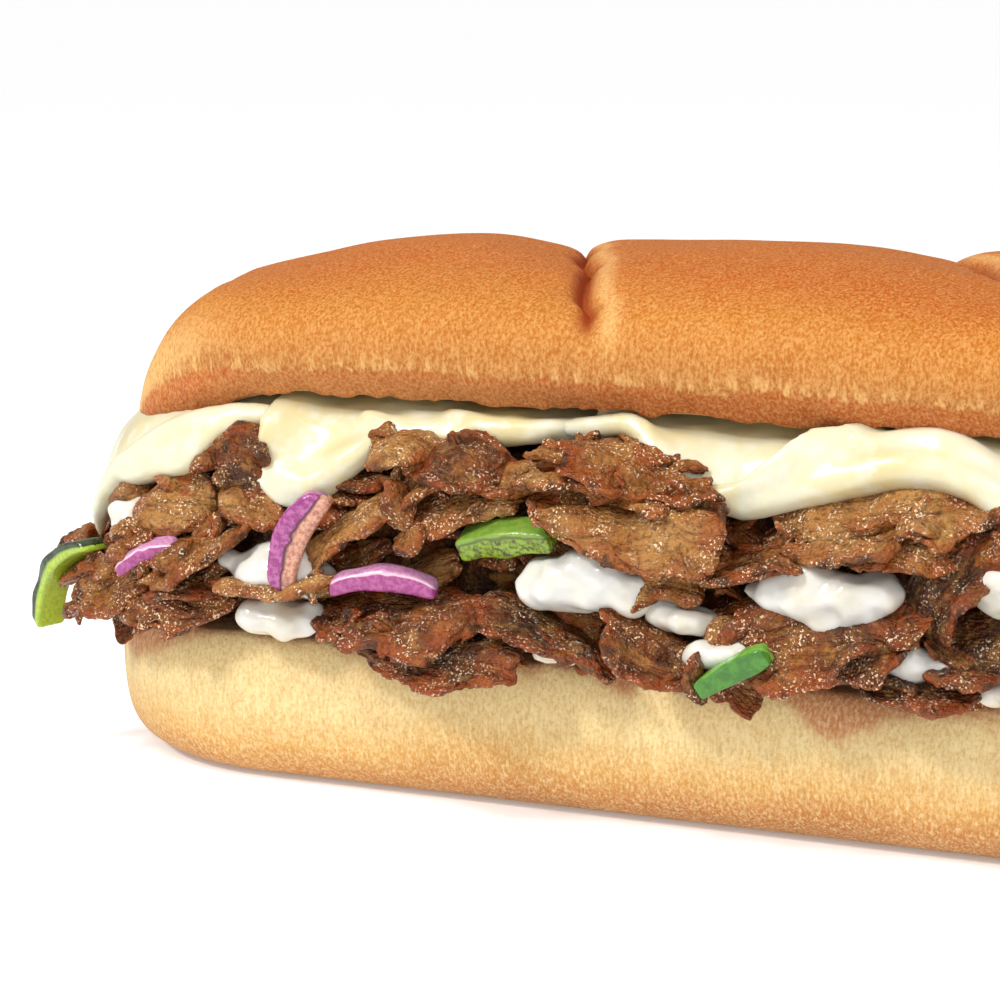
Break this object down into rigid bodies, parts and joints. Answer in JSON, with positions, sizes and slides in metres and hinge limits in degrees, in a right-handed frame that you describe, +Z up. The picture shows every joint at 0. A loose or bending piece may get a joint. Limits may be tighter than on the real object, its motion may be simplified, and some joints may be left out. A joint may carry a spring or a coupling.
{
  "type": "submarine sandwich",
  "caption": "Long soft sandwich roll with slanting creases, split and filled with shaved steak, melted cheese, white sauce, red onion and green pepper.",
  "frame": {"origin": "centre of the flat face under the lower half of the roll, on the surface it rests on", "axes": "+Z up; +X along the roll; the side that the picture shows faces -Y"},
  "size_m": [0.3225, 0.1002, 0.092],
  "materials": {
    "bread_heel": "soft pale golden crust",
    "bread_crown": "soft golden brown crust with a faint sheen",
    "steak": "browned and moist",
    "cheese": "melted, smooth and glossy",
    "sauce": "creamy and glossy",
    "onion": "moist, purple skin and pink flesh",
    "pepper": "moist green skin with charred spots"
  },
  "bodies": {
    "root": {"bread_heel": "bread_heel", "bread_crown": "bread_crown", "shaved_steak": "steak", "cheese_1": "cheese", "cheese_2": "cheese", "cheese_3": "cheese", "cheese_4": "cheese", "cheese_5": "cheese", "cheese_6": "cheese", "sauce_1": "sauce", "sauce_2": "sauce", "sauce_3": "sauce", "sauce_4": "sauce", "sauce_5": "sauce", "sauce_6": "sauce", "sauce_7": "sauce", "sauce_8": "sauce", "sauce_9": "sauce", "sauce_10": "sauce", "sauce_11": "sauce", "sauce_12": "sauce", "sauce_13": "sauce", "sauce_14": "sauce", "sauce_15": "sauce", "sauce_16": "sauce", "sauce_17": "sauce", "sauce_18": "sauce", "onion_1": "onion", "onion_2": "onion", "onion_3": "onion", "onion_4": "onion", "onion_5": "onion", "onion_6": "onion", "onion_7": "onion", "onion_8": "onion", "pepper_1": "pepper", "pepper_2": "pepper", "pepper_3": "pepper", "pepper_4": "pepper", "pepper_5": "pepper", "pepper_6": "pepper", "pepper_7": "pepper", "pepper_8": "pepper"}
  },
  "joints": []
}
